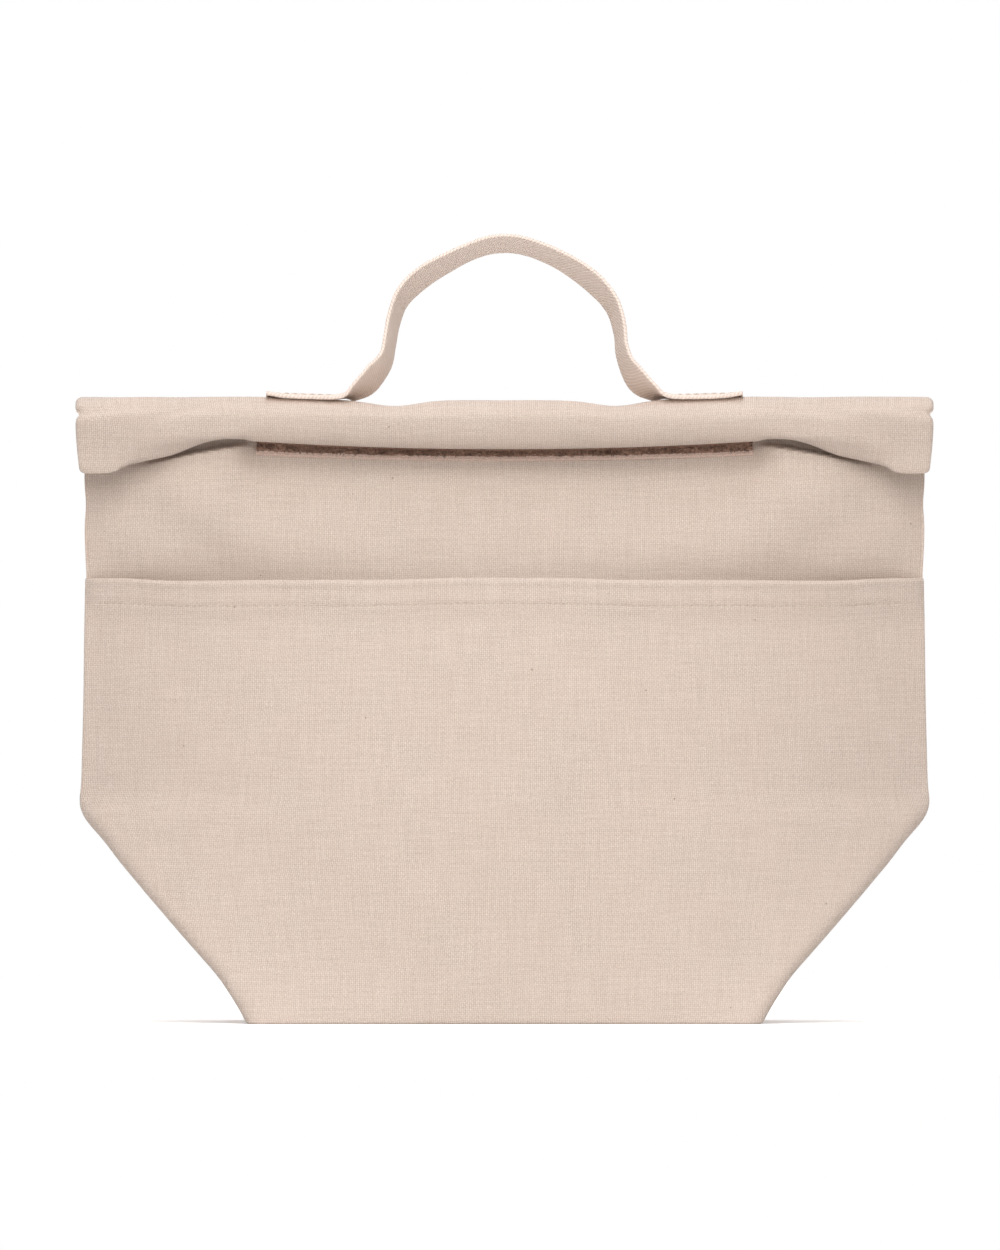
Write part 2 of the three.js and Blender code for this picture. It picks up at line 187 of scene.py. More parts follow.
def makeCanvas(name, look):
    material, add = newMaterial(name)
    uv, across, along = threadSpace(add, look)
    streaks = []
    for stretch in ((0.87, 0.05, 1.0), (0.05, 0.83, 1.0)):
        drawn = add("Mapping", {"Vector": uv, "Scale": stretch})
        streaks.append(add("TexNoise", {"Vector": drawn, "Scale": 1.0, "Detail": 2.0}))
    bothWays = add("Math ADD", (streaks[0], streaks[1]))
    faint = add("Math MULTIPLY", (bothWays, 0.28))
    yarn = add("TexNoise", {"Vector": uv, "Scale": 1.0, "Detail": 3.0, "Roughness": 0.65})
    warp = add("Math PINGPONG", (across, 0.5))
    ribs = add("Math MULTIPLY_ADD", (warp, 0.35, faint))
    woven = add("Math MULTIPLY_ADD", (plainWeave(add, across, along), 0.75, ribs))
    height = add("Math MULTIPLY_ADD", (yarn, 0.8, woven))
    # Painted shade: the colour follows the weave's height, so the gaps between threads are darker and the crossings
    # lighter, over the yarn's real uneven tone
    lightness = add("MapRange", (height, 0.6, 1.75))
    weaveColour = add("Mix", {"data_type": "RGBA", 0: lightness, 6: look["dark"], 7: look["light"]}, 2)
    cloud = add("TexNoise", {"Vector": uv, "Scale": 0.03, "Detail": 3.0})
    cloudy = add("MapRange", (cloud, 0.35, 0.7, 0, 0.16))
    cloudColour = add("Mix", {"data_type": "RGBA", 0: cloudy, 6: weaveColour, 7: look["blush"]}, 2)
    husks = add("TexVoronoi", {"Vector": uv, "Scale": 1 / look["fleckSpacing"]}, None)
    chosen = add("SeparateColor", (husks.outputs["Color"],))
    size = add("MapRange", (chosen, 0.45, 1, 0, 0.055))
    near = add("Math LESS_THAN", (husks.outputs["Distance"], size))
    shown = add("Math MULTIPLY", (near, 0.7))
    finishSurface(add, look, height, shown, cloudColour, look["fleck"])
    return material


# Cotton webbing, woven in a fine twill: matt slanting ribs 1.5 mm apart, painted lighter on their crests and darker
# between them as painted highlight and shade
webbingLook = {"pitch": (1.5, 1.5), "wander": 0.6, "light": "#F7EADF", "dark": "#DAC5B7", "bump": 0.9,
               "relief": 0.0002, "finish": (0.9, 0.2, 0.1)}


def makeWebbing(name, look):
    material, add = newMaterial(name)
    uv, across, along = threadSpace(add, look)
    slant = add("Math MULTIPLY_ADD", (across, 0.5, along))
    rib, warp = [add("Math PINGPONG", (way, 0.5)) for way in (slant, across)]
    yarn = add("TexNoise", {"Vector": uv, "Scale": 1.0, "Detail": 3.0, "Roughness": 0.7})
    ribbed = add("Math MULTIPLY_ADD", (warp, 0.5, rib))
    height = add("Math MULTIPLY_ADD", (yarn, 0.5, ribbed))
    # Painted highlight on the rib crests and painted shade in the grooves, taken from the rib height, over the yarn's
    # own uneven tone
    lightness = add("MapRange", (height, 0.25, 1))
    finishSurface(add, look, height, lightness, look["dark"], look["light"])
    return material


# Aluminium foil laminate, crinkled: silver, broken into soft facets about 11 mm wide by folding
foilLook = {"light": "#CFD1D3", "dark": "#AEB0B3", "facet": 11.0, "bump": 0.7, "relief": 0.0008,
            "finish": (0.32, 0.5, 0, 0.85)}


def makeFoil(name, look):
    material, add = newMaterial(name)
    place = add("TexCoord", take="Object")
    cells = {"feature": "SMOOTH_F1", "Vector": place, "Scale": 1 / mm / look["facet"]}
    facets = add("TexVoronoi", cells, "Distance")
    fine = add("TexNoise", {"Vector": place, "Scale": 240.0, "Detail": 3.0})
    height = add("Math MULTIPLY_ADD", (fine, 0.4, facets))
    finishSurface(add, look, height, fine, look["light"], look["dark"])
    return material


# Fuzz that stands up in patches, and the even grain of the other surfaces
brushed = {"coarse": 0.7, "patches": 0.45, "range": (0.5, 0.95), "bump": 1.0}
even = {"coarse": 0.6, "patches": 0.0, "range": (0.35, 0.65), "bump": 0.6}
# Nylon loop pile, brushed: a fuzzy brown nap in tufts about 1 mm wide, darker down between the loops with painted
# shade; its brown is also darkened with painted shade that stands for the shade under the roll
pileLook = {"light": "#BB9782", "dark": "#5F4233", "grain": 0.8, "relief": 0.0006, "finish": (0.85, 0.25, 0.2),
            **brushed}
# Nylon hooks, moulded: a stiffer, evener field of short brown hooks, a little shinier than the loops
hookLook = {"light": "#9A7763", "dark": "#644636", "grain": 1.1, "relief": 0.0005, "finish": (0.5, 0.25, 0.2),
            **brushed}
# Polyethylene foam, expanded: matt white with closed cells about 1 mm wide
foamLook = {"light": "#F0EFEB", "dark": "#D9D7D0", "grain": 1.1, "relief": 0.0002, "finish": (0.8, 0.3), **even}
# Grey board, pressed from waste paper: matt, with short fibres that make it mottled
boardLook = {"light": "#ABA69D", "dark": "#8C867C", "grain": 2.4, "relief": 0.0001, "finish": (0.9, 0.3), **even}
# Cotton thread, spun: off-white with the slight sheen of a tight twist, which turns about every 0.7 mm
threadLook = {"light": "#DCCDBF", "dark": "#B9A798", "grain": 0.7, "relief": 0.0001, "finish": (0.7, 0.3), **even}
# Nylon tape selvedge, woven: the fine ground of the tape, threads about 0.4 mm apart, a little pinker and darker than
# the cloth, partly painted shade that stands for the thin shadow line under the tape's lower edge
selvedgeLook = {"light": "#E6CFC2", "dark": "#BF9F8F", "grain": 0.4, "relief": 0.0001, "finish": (0.7, 0.3), **even}


def makeGrained(name, look):
    material, add = newMaterial(name)
    place = add("TexCoord", take="Object")
    grains = {"Vector": place, "Scale": 1 / mm / look["grain"], "Detail": 3.0, "Roughness": look["coarse"]}
    grain = add("TexNoise", grains)
    patches = add("TexNoise", {"Vector": place, "Scale": 160.0, "Detail": 2.0})
    share = add("Math MULTIPLY_ADD", (patches, look["patches"], grain))
    # The colour follows the same grain as the relief, darker in its low places; on the loop pile this is painted shade
    # down between the loops
    lightness = add("MapRange", (share, *look["range"]))
    finishSurface(add, look, grain, lightness, look["dark"], look["light"])
    return material


cottonCanvas = makeCanvas("unbleached cotton canvas, plain woven", canvasLook)
cottonWebbing = makeWebbing("cotton webbing, twill woven", webbingLook)
loopPile = makeGrained("nylon loop pile, brushed", pileLook)
hookPile = makeGrained("nylon hooks, moulded", hookLook)
tapeSelvedge = makeGrained("nylon tape selvedge, woven", selvedgeLook)
foilLaminate = makeFoil("aluminium foil laminate, crinkled", foilLook)
foamSheet = makeGrained("polyethylene foam, expanded", foamLook)
greyBoard = makeGrained("grey board, pressed", boardLook)
cottonThread = makeGrained("cotton thread, spun", threadLook)
print("materials made")


# The bag's form, shared by every cloth. Half widths run up the side. Places come from the frame where it has them.
gap = 0.3
neckTop = edgeOf("back_panel", 1, "z") + gap
rollTop = edgeOf("ridge_back_canvas", 1, "z")
ridgeBack = edgeOf("ridge_back_canvas", 1, "y") + gap
ridgeFront = edgeOf("ridge_back_canvas", 0, "y") - gap
bendRadius = rollTop - neckTop
neckDepth = ridgeBack + bendRadius
pocketTop = edgeOf("pocket_panel", 1, "z")
flapBack = edgeOf("flap_back_canvas", 1, "y")
flapFront = edgeOf("flap_front_canvas", 0, "y")
foldInner = edgeOf("fold_front_canvas", 1, "y")
ridgeDeep = rollTop - edgeOf("ridge_front_canvas", 0, "z")
mouthEdge = edgeOf("flap_back_canvas", 1, "z")
form = {
    "heights": [0, 9, 19, 33, 49, 65, 73, 79, 83, 88, 100, 128, 160, 178, 189, 198, 207.6, 215, neckTop],
    "halfWidths": [101.2, 106.4, 113.1, 125.7, 139.7, 153.3, 159.2, 164.6, 167.4, 168.6, 168.6, 168.0, 167.7, 167.4,
                   168.0, 168.3, 167.6, 168.3, 168],
    "sideSpread": 2.5, "frontDepth": -edgeOf("front_panel", 0, "y"), "backDepth": edgeOf("back_panel", 1, "y"),
    "neckHeight": neckTop - 18.5, "neckFrom": 0.78, "gussetHeight": 90, "gussetEase": 0.0012, "belly": 5,
    "sideRoundness": 2.2, "neckRoundness": 8, "faceSteps": 64, "cornerSteps": 16, "foldRound": 5, "slopeReach": 1.5,
    "seamRound": 1.8, "seamDip": 0.7, "seamGap": 0.06, "baseRound": 1.5, "baseDip": 1.3, "clothHalf": 169,
    "dentHalf": 168,
}


# Which of a line's legs holds a place, given the places of its points, and how far along that leg it is
def findLeg(places, at):
    i = int(clamp(bisect_right(places, at), 1, len(places) - 1))
    span = places[i] - places[i - 1]
    return i, clamp((at - places[i - 1]) / span) if span > 0 else 0


# Between the heights of the form the side bends softly
def halfWidthAt(z):
    near = [findLeg(form["heights"], z + form["sideSpread"] * k) for k in (-1, -0.5, 0, 0.5, 1)]
    return sum(mix(form["halfWidths"][i - 1], form["halfWidths"][i], share) for i, share in near) / len(near)


@cache
def sectionAt(z, side):
    half = halfWidthAt(z)
    base = form["frontDepth"] if side < 0 else form["backDepth"]
    above = 1 - z / form["gussetHeight"]
    corner = base * (above + sqrt(above * above + form["gussetEase"])) / 2
    neck = form["neckHeight"]
    share = clamp(z / neck)
    middle = mix(base, neckDepth, share) + form["belly"] * sin(pi * share)
    power = mix(form["sideRoundness"], form["neckRoundness"], smooth(neck * form["neckFrom"], neck, z))
    outline = [(half * s, corner + (middle - corner) * (1 - s ** power)) for s in steps(0, 1, form["faceSteps"])]
    outline += [(half, corner * (1 - s)) for s in steps(0, 1, form["cornerSteps"])[1:]]
    return outline, lengthsOf(outline)


def onOutline(section, reach):
    outline, lengths = section
    i, share = findLeg(lengths, abs(reach))
    x, depth = (mix(outline[i - 1][k], outline[i][k], share) for k in (0, 1))
    return copysign(x, reach), depth


# How far a rounded edge has dropped, from 1 at the edge to 0 where it runs out
def rounding(share):
    return 1 - sqrt(1 - (1 - clamp(share)) ** 2)


# A point of the outer cloth: share runs from seam to seam, z is the height, and stand lifts it off the surface
def bodyPoint(share, z, side, stand=0.0):
    section = sectionAt(round(clamp(z, 0, neckTop), 3), side)
    length = section[1][-1]
    reach = share * length
    window = min(form["foldRound"], length - abs(reach))
    near = [onOutline(section, reach + window * k / 4) for k in range(-4, 5)]
    x = sum(p[0] for p in near) / len(near)
    depth = sum(p[1] for p in near) / len(near)
    ahead = onOutline(section, min(reach + form["slopeReach"], length))
    behind = onOutline(section, max(reach - form["slopeReach"], -length))
    alongX, alongDepth = ahead[0] - behind[0], ahead[1] - behind[1]
    size = hypot(alongX, alongDepth) or 1
    stand -= form["seamDip"] * rounding((length - abs(reach)) / form["seamRound"])
    stand -= form["baseDip"] * rounding(z / form["baseRound"])
    return x - alongDepth / size * stand, depth + alongX / size * stand


# Soft unevenness of the padded cloth: wide dents with finer ones on them, fading out at the base, neck and seams
dents = {"sizes": [(75, 60, 1.1), (26, 22, 0.35)], "front": (1.5, 5.5), "back": (9.5, 13.5), "baseFade": 14,
         "neckFade": (24, 6), "seamFade": 0.9}


def swell(x, z, seeds):
    return sum(deep * noiseAt(x / wide, z / high, seed) for (wide, high, deep), seed in zip(dents["sizes"], seeds))


def softness(share, z):
    return smooth(0, dents["baseFade"], z) * (1 - smooth(dents["seamFade"], 1, abs(share)))


# Slack folds under the roll's loose ends, slanting down towards the middle of the bag
endFolds = {"centre": (131, 197), "slope": (-0.858, -0.515), "depth": (1.5, 1.1), "width": 8.5, "length": 24,
            "valleyAt": -1, "ridgeAt": (16, -8), "ridgeWidth": 8.5 * 1.2, "ridgeShare": 0.8}


def endFold(x, z):
    away = (abs(x) - endFolds["centre"][0], z - endFolds["centre"][1])
    slope = endFolds["slope"]
    along = away[0] * slope[0] + away[1] * slope[1]
    beside = away[0] * -slope[1] + away[1] * slope[0]
    valley = hump(endFolds["valleyAt"], endFolds["width"], beside) * hump(0, endFolds["length"], along)
    besideAt, alongAt = endFolds["ridgeAt"]
    ridge = hump(besideAt, endFolds["ridgeWidth"], beside) * hump(alongAt, endFolds["length"], along)
    return endFolds["depth"][0 if x < 0 else 1] * (endFolds["ridgeShare"] * ridge - valley)


# The rolled mouth. A section is a list of (y, z) points whose numbers mean the same place at every x:
# 0-8 back bend or hidden pleat, 8-20 ridge, 20-30 front bend, 30-36 face, 36-42 under side, 42-48 turn, 48-55 flap.
mark = {"ridge": 8, "split": 14, "front": 20, "parting": 33, "under": 36, "foil": 39, "hook": 43, "flap": 48,
        "last": 55}
run = {"bend": 8, "ridge": 12, "front": 10, "leg": 6, "flap": 7}
roll = {
    "clothHalf": 170, "weaveStart": 280, "sideClose": 2.6, "lobeDepth": 7.6, "lobeMiddle": 242.4, "lobeSlant": 1.5,
    "lobeFullness": 0.75, "tapeHalf": 98, "loosen": (95, 110), "bottom": 229.0, "sag": 3.1, "endReach": 167,
    "endDrop": 13.6, "endCurve": 1.25, "endBottom": 219.3, "endLevel": (149, 158), "creaseHeight": 233.1,
    "creaseFrom": (98, 104), "creaseTo": (108, 134), "creaseBack": (0.9, 3.9), "creaseDrop": 4, "tip": (128, 160),
    "lowY": (-12.8, -16.2), "lowOver": (140, 158), "turnUp": (1.8, 4.0), "strip": (-15.7, -13.9), "stripFrom": 112,
    "topEnds": 1.25, "topOver": (56, 84), "topBase": -0.35, "topDip": 2.5, "dipAt": 44, "dipWidth": 12,
    "topRipple": 0.3,
}


# Lower edge of the roll as it shows from the front
def rollBottom(x):
    reach = abs(x)
    if reach < roll["tapeHalf"]:
        return roll["bottom"] + roll["sag"] * (reach / roll["tapeHalf"]) ** 2
    out = clamp((reach - roll["tapeHalf"]) / (roll["endReach"] - roll["tapeHalf"]))
    slanting = roll["bottom"] + roll["sag"] - roll["endDrop"] * out ** roll["endCurve"]
    return mix(slanting, roll["endBottom"], smooth(*roll["endLevel"], reach))


# Just past the tape the outer cloth turns under at a level crease, above a hollow; further out it hangs lower
def turnUnder(x):
    reach, hanging = abs(x), rollBottom(x)
    if reach < roll["tapeHalf"]:
        return hanging
    creased = mix(hanging, roll["creaseHeight"], smooth(*roll["creaseFrom"], reach))
    return mix(creased, hanging, smooth(*roll["creaseTo"], reach))


def topLift(x):
    ends = roll["topEnds"] * smooth(*roll["topOver"], abs(x))
    dip = roll["topDip"] * hump(roll["dipAt"], roll["dipWidth"], abs(x))
    return ends + roll["topBase"] - dip + roll["topRipple"] * noiseAt(x / 31, 2.2)


# Under the roll's loose ends the front swells up to a soft ledge, wider further down, with a deep slot above it
ledge = {"from": 99, "full": 110, "fade": 120, "to": 152, "spread": 0.55, "depth": 7.5, "below": 1.2, "drop": 1.4,
         "foot": 60, "rise": 5}


def ledgeStand(x, z):
    reach = abs(x)
    edge = rollBottom(x) - ledge["below"]
    spread = ledge["spread"] * max(edge - z, 0)
    inner = smooth(ledge["from"] - spread, ledge["full"] + spread, reach)
    outer = 1 - smooth(ledge["fade"] - spread / 3, ledge["to"] + spread / 6, reach)
    upright = (1 - smooth(edge, edge + ledge["drop"], z)) * smooth(edge - ledge["foot"], edge - ledge["rise"], z)
    return ledge["depth"] * inner * outer * upright


# How far the loose cloth stands off the plain form; the foam and lining behind it follow
def slack(share, z, side):
    neckFrom, neckTo = (neckTop - fade for fade in dents["neckFade"])
    soft = softness(share, z) * (1 - smooth(neckFrom, neckTo, z))
    x = share * form["dentHalf"]
    if side > 0:
        return soft * swell(x, z, dents["back"])
    return soft * (swell(x, z, dents["front"]) + endFold(x, z)) + ledgeStand(x, z)


def addObject(name, data):
    made = bpy.data.objects.new(name, data)
    bpy.context.scene.collection.objects.link(made)
    return made


def meshObject(name, shape, material):
    mesh = bpy.data.meshes.new(name)
    shape.to_mesh(mesh)
    shape.free()
    mesh.materials.append(material)
    mesh.shade_smooth()
    piece = addObject(name, mesh)
    return piece


# Makes a cloth from an operator's grid, then sends each of its points to its place by formula
def gridPiece(name, columns, rows, place, flat, material):
    cloth = bmesh.new()
    wide, high = len(columns) - 1, len(rows) - 1
    bmesh.ops.create_grid(cloth, x_segments=wide, y_segments=high, size=0.5)
    layer = cloth.loops.layers.uv.new("cloth")
    where = {}
    for vertex in cloth.verts:
        column, row = round((vertex.co.x + 0.5) * wide), round((vertex.co.y + 0.5) * high)
        where[vertex] = (columns[column], rows[row])
    for face in cloth.faces:
        for loop in face.loops:
            loop[layer].uv = flat(*where[loop.vert])
    for vertex, at in where.items():
        vertex.co = Vector(place(*at)) * mm
    return meshObject(name, cloth, material)


# A grid piece with its thickness, put on inwards and applied, that stands for the named nodes of the frame
def clothPiece(name, columns, rows, place, flat, material, thickness, *nodes):
    piece = gridPiece(name, columns, rows, place, flat, material)
    wall = piece.modifiers.new("cloth thickness", "SOLIDIFY")
    wall.thickness = thickness * mm
    wall.offset = -1
    depsgraph = bpy.context.evaluated_depsgraph_get()
    thick = bpy.data.meshes.new_from_object(piece.evaluated_get(depsgraph))
    piece.modifiers.clear()
    piece.data = thick
    thick.set_sharp_from_angle(angle=radians(50))
    if nodes:
        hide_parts(*nodes)
    return piece


def relax(points, rounds):
    for _ in range(rounds):
        inner = [weigh((1, 2, 1), three) for three in zip(points, points[1:], points[2:])]
        points = [points[0], *((y / 4, z / 4) for y, z in inner), points[-1]]
    return points


# Outer canvas of the roll. Over the tape the lobe is round; past it the cloth creases and turns back underneath.
@cache
def outerSection(x):
    reach = abs(x)
    top = rollTop + topLift(x)
    bottom = turnUnder(x)
    loose = smooth(*roll["loosen"], reach)
    tip = smooth(*roll["tip"], reach)
    points = [(neckDepth, neckTop)]
    for turn in quarter(run["bend"]):
        points.append((ridgeBack + bendRadius * cos(turn), neckTop + (top - neckTop) * sin(turn)))
    points += leg((ridgeBack, top), (ridgeFront, top), run["ridge"])
    middle, depth = roll["lobeMiddle"], roll["lobeDepth"]
    for turn in quarter(run["front"]):
        out, up = sin(turn) ** roll["lobeSlant"], max(cos(turn), 0) ** roll["lobeSlant"]
        points.append((ridgeFront - depth * out, middle + (top - middle) * up))
    face = ridgeFront - depth
    crease = (face + mix(*roll["creaseBack"], tip), max(roll["creaseHeight"] - roll["creaseDrop"] * tip, bottom + 0.6))
    low = (mix(*roll["lowY"], smooth(*roll["lowOver"], reach)), bottom)
    looseLeg = leg((face, middle), crease, run["leg"]) + leg(crease, low, run["leg"])
    for turn, loosePoint in zip(quarter(2 * run["leg"]), looseLeg):
        fullness = max(cos(turn), 0) ** roll["lobeFullness"]
        tight = (ridgeFront - gap - depth * fullness, middle - (middle - bottom) * sin(turn))
        points.append(tuple(mix(a, b, loose) for a, b in zip(tight, loosePoint)))
    turnUp = (flapBack, bottom + mix(*roll["turnUp"], loose))
    points += leg(points[-1], turnUp, run["leg"])
    points += leg(turnUp, (flapBack, mouthEdge), run["flap"])
    points = relax(points, 3)
    lowest = min(z for y, z in points)
    for i in range(mark["flap"] + 2):
        y, z = points[i]
        points[i] = (y, z - (lowest - bottom) * clamp((middle - z) / (middle - lowest)))
    # Past the tape no point of the drooping turn lies in the strip where the lip starts to turn with the flap
    if reach > roll["stripFrom"]:
        near, far = roll["strip"]
        for i in range(mark["under"], mark["flap"] + 1):
            y, z = points[i]
            if near < y < far:
                points[i] = (near if y < (near + far) / 2 else far, z)
    return points


# Inner canvas of the roll, tucked under the ridge and into the fold
pleat = {"follow": (0.25, 0.8), "most": -0.5, "bend": [(-6.2, 244.4), (3.4, 242.4)], "middle": 240.5, "inset": 0.5,
         "bottom": 3.1, "hollow": 1.7, "hollowFrom": (98, 106), "hollowTo": (120, 134), "crease": 234, "creaseDrop": 4,
         "creaseOver": (140, 160), "least": 1.2}


@cache
def innerSection(x):
    reach, topHere = abs(x), topLift(x)
    lift = max(topHere * pleat["follow"][topHere > 0], pleat["most"])
    under = rollTop - ridgeDeep + lift
    hollow = pleat["hollow"] * smooth(*pleat["hollowFrom"], reach) * (1 - smooth(*pleat["hollowTo"], reach))
    bottom = turnUnder(x) + pleat["bottom"] - hollow
    bend = [(-neckDepth, neckTop), *pleat["bend"], (ridgeBack, under)]
    points = bend[:1]
    for s in steps(0, 1, run["bend"])[1:]:
        points.append(weigh(((1 - s) ** 3, 3 * s * (1 - s) ** 2, 3 * s * s * (1 - s), s ** 3), bend))
    points += leg((ridgeBack, under), (ridgeFront, under), run["ridge"])
    inner, middle = foldInner - pleat["inset"], pleat["middle"]
    for turn in quarter(run["front"]):
        points.append((ridgeFront + (inner - ridgeFront) * sin(turn), middle + (under - middle) * cos(turn)))
    creaseZ = pleat["crease"] - pleat["creaseDrop"] * smooth(*pleat["creaseOver"], reach)
    crease = (foldInner - 0.1, max(bottom + pleat["least"], creaseZ))
    points += leg((inner, middle), crease, run["leg"])
    low = ((foldInner + flapFront) / 2, bottom)
    turnUp = (flapFront, bottom + pleat["least"])
    points += leg(crease, low, run["leg"]) + leg(low, turnUp, run["leg"])
    points += leg(turnUp, (flapFront, mouthEdge), run["flap"])
    return relax(points, 2)


# The roll's side ends: the ridge stands out past a small notch, the lip draws in, and a slanting dent runs in from it
rim = {"neck": 168, "bend": 171.3, "ridge": 171.4, "lip": 169.6, "lipOver": (30, 46), "notchAt": 28, "notchWidth": 1.6,
       "notch": 1.5, "notchDepth": 1.3, "notchOver": (148, 168), "dentDepth": 1.2, "dentAt": 27, "dentWidth": 3.5,
       "dentX": 122, "dentReach": 9, "dentSlant": 4, "ripple": 0.4, "rippleWidth": 24, "rippleLength": 7}


def rollReach(i):
    if i <= run["bend"]:
        return mix(rim["neck"], rim["bend"], smooth(0, run["bend"], i))
    notch = rim["notch"] * hump(rim["notchAt"], rim["notchWidth"], i)
    return mix(rim["ridge"], rim["lip"], smooth(*rim["lipOver"], i)) - notch


# Where a share of the width lies across the roll's flat cloth
def clothX(share):
    return copysign(round(abs(share) * roll["clothHalf"], 3), share)


def rollPoint(share, i, side):
    reach, close = rollReach(i), roll["sideClose"]
    length = reach + close * (pi / 2 - 1)
    x, opening = abs(share) * length, 1.0
    if x >= reach - close:
        turn = (x - (reach - close)) / close
        x, opening = reach - close + close * sin(turn), max(cos(turn), 0.0)
    if i < run["bend"]:
        neckX, neckDepthHere = bodyPoint(abs(share), neckTop, side)
        blendIn = smooth(0, run["bend"], i)
        x = mix(neckX, x, blendIn)
        opening = mix(clamp(neckDepthHere / neckDepth), opening, blendIn)
    cloth = clothX(share)
    outer, inner = outerSection(cloth)[i], innerSection(cloth)[i]
    here = outer if side > 0 else inner
    y, z = (mix((outer[k] + inner[k]) / 2, here[k], opening) for k in (0, 1))
    if side > 0 and i > mark["front"]:
        notched = hump(rim["notchAt"], rim["notchWidth"], i) * smooth(*rim["notchOver"], abs(cloth))
        slanted = abs(cloth) - rim["dentSlant"] * (i - rim["dentAt"])
        dented = hump(rim["dentAt"], rim["dentWidth"], i) * hump(rim["dentX"], rim["dentReach"], slanted)
        y += rim["notchDepth"] * notched + rim["dentDepth"] * dented
    if side > 0 and mark["ridge"] < i < mark["flap"]:
        ripple = rim["ripple"] * noiseAt(cloth / rim["rippleWidth"], i / rim["rippleLength"], 5.5)
        if i > 24:
            y -= ripple
        else:
            z += ripple * (1 - smooth(18, 24, i)) * smooth(8, 12, i)
    return copysign(x, share), y, z


# Lengths along the cloth from the middle of the ridge, so that the weave runs on from piece to piece
def ridgeLengths(points):
    lengths = lengthsOf(points)
    return [value - lengths[mark["split"]] for value in lengths]


@cache
def rollLengths(cloth, side):
    return ridgeLengths(outerSection(cloth) if side > 0 else innerSection(cloth))


def rollFlat(share, i, side):
    return share * form["clothHalf"] * side, roll["weaveStart"] + rollLengths(clothX(share), side)[i]


# Front and back canvas: up the bag, and on into the roll as far as the middle of the ridge
def panelPlace(share, row, side):
    if row > neckTop:
        return rollPoint(share, round(row - neckTop), side)
    x, depth = bodyPoint(share, row, side)
    return x, side * max(depth + slack(share, row, side), form["seamGap"] / 2), row


def panelFlat(share, row, side):
    across, up = rollFlat(share, max(round(row - neckTop), 0), side)
    return across, up - max(neckTop - row, 0)


canvasThickness = 0.9
canvas = (cottonCanvas, canvasThickness)
foil = (foilLaminate, 0.3)
seamEdge = 0.02
seamColumns = [seamEdge * k for k in (0, 0.12, 0.3, 0.6)]
frontColumns = [-1 + s for s in seamColumns] + steps(-1 + seamEdge, 1 - seamEdge, 168)
frontColumns += [1 - s for s in reversed(seamColumns)]
backColumns = [-share for share in frontColumns]
footRows = [0, 0.35, 0.8, 1.5]
panelRows = footRows + steps(3, 214, 96) + steps(214, neckTop, 30)[1:]
panelRows += [neckTop + i for i in range(1, mark["split"] + 1)]
inFront, behind = [(partial(panelPlace, side=side), partial(panelFlat, side=side)) for side in (-1, 1)]
frontCloth = clothPiece("frontCloth", frontColumns, panelRows, *inFront, *canvas, "front_panel", "ridge_front_canvas")
backCloth = clothPiece("backCloth", backColumns, panelRows, *behind, *canvas, "back_panel", "back_bend",
                       "ridge_back_canvas")
print("front and back cloth made")

# The cloth of the rolled mouth: the outer canvas in two lengths, and the inner canvas behind it
rollRows = list(range(mark["split"], mark["parting"] + 1))
lipRows = list(range(mark["parting"], mark["last"] + 1))
inner, outer = [(partial(rollPoint, side=side), partial(rollFlat, side=side)) for side in (-1, 1)]
rollCloth = clothPiece("rollCloth", backColumns, rollRows, *outer, *canvas, "front_bend", "fold_back_canvas")
lipCloth = clothPiece("lipCloth", backColumns, lipRows, *outer, *canvas, "bottom_bend", "flap_back_canvas")
innerRollCloth = clothPiece("innerRollCloth", frontColumns, rollRows, *inner, *canvas, "fold_front_canvas")
innerLipCloth = clothPiece("innerLipCloth", frontColumns, lipRows, *inner, *canvas, "flap_front_canvas")
print("rolled mouth made")


# The foil lining runs on between the two canvases of the roll, in one length round the fold and one up the flap
sleeve = {"narrow": 0.9, "depth": 0.7}


@cache
def sleeveSection(share):
    cloth = round(share * sleeve["narrow"] * roll["clothHalf"], 3)
    pairs = zip(outerSection(cloth), innerSection(cloth))
    return [tuple(mix(outer[k], inner[k], sleeve["depth"]) for k in (0, 1)) for outer, inner in pairs]


def sleevePlace(share, i):
    return (share * sleeve["narrow"] * rollReach(i), *sleeveSection(share)[i])


def sleeveUv(share, i):
    return share * sleeve["narrow"] * roll["clothHalf"], ridgeLengths(sleeveSection(share))[i]


foldFoilRows = list(range(mark["ridge"] + 1, mark["parting"] + 1))
flapFoilRows = list(range(mark["foil"], mark["last"]))
sleeveColumns = steps(1, -1, 150)
rollFoil = clothPiece("rollFoil", sleeveColumns, foldFoilRows, sleevePlace, sleeveUv, *foil, "ridge_lining",
                      "fold_lining")
lipFoil = clothPiece("lipFoil", sleeveColumns, flapFoilRows, sleevePlace, sleeveUv, *foil, "flap_lining")


# The pocket: a canvas panel over the whole front, whose top edge is turned in and stitched down
pocket = {"stand": 1.2, "hemStand": 3.2, "seamStand": 1.7, "seamWidth": 0.03, "hemRound": 1.6, "hemLow": 167.2,
          "stitchHeight": 167.6, "groove": 0.16, "grooveWidth": 0.9, "bead": 0.8, "beadWidth": 1.3, "gape": 11,
          "ease": 0.3, "uvShift": (61.3, 17.7)}


def pocketStand(share, z):
    hemmed = smooth(pocket["stitchHeight"] - 9, pocket["stitchHeight"] + 5, z)
    groove = pocket["groove"] * hump(pocket["stitchHeight"], pocket["grooveWidth"], z)
    stand = mix(pocket["stand"], pocket["hemStand"], hemmed) - groove
    stand += pocket["bead"] * hump(pocketTop - pocket["hemRound"], pocket["beadWidth"], z)
    return mix(pocket["seamStand"] * smooth(0, 90, z), stand, smooth(0, pocket["seamWidth"], 1 - abs(share)))


# Its top edge sags a little between the middle and the corners
def topSag(x, z):
    reach = abs(x)
    sag = 0.8 * smooth(15, 55, reach) + 0.3 * hump(122, 20, reach) - 0.9 * smooth(132, 158, reach)
    return sag * smooth(140, 168, z)


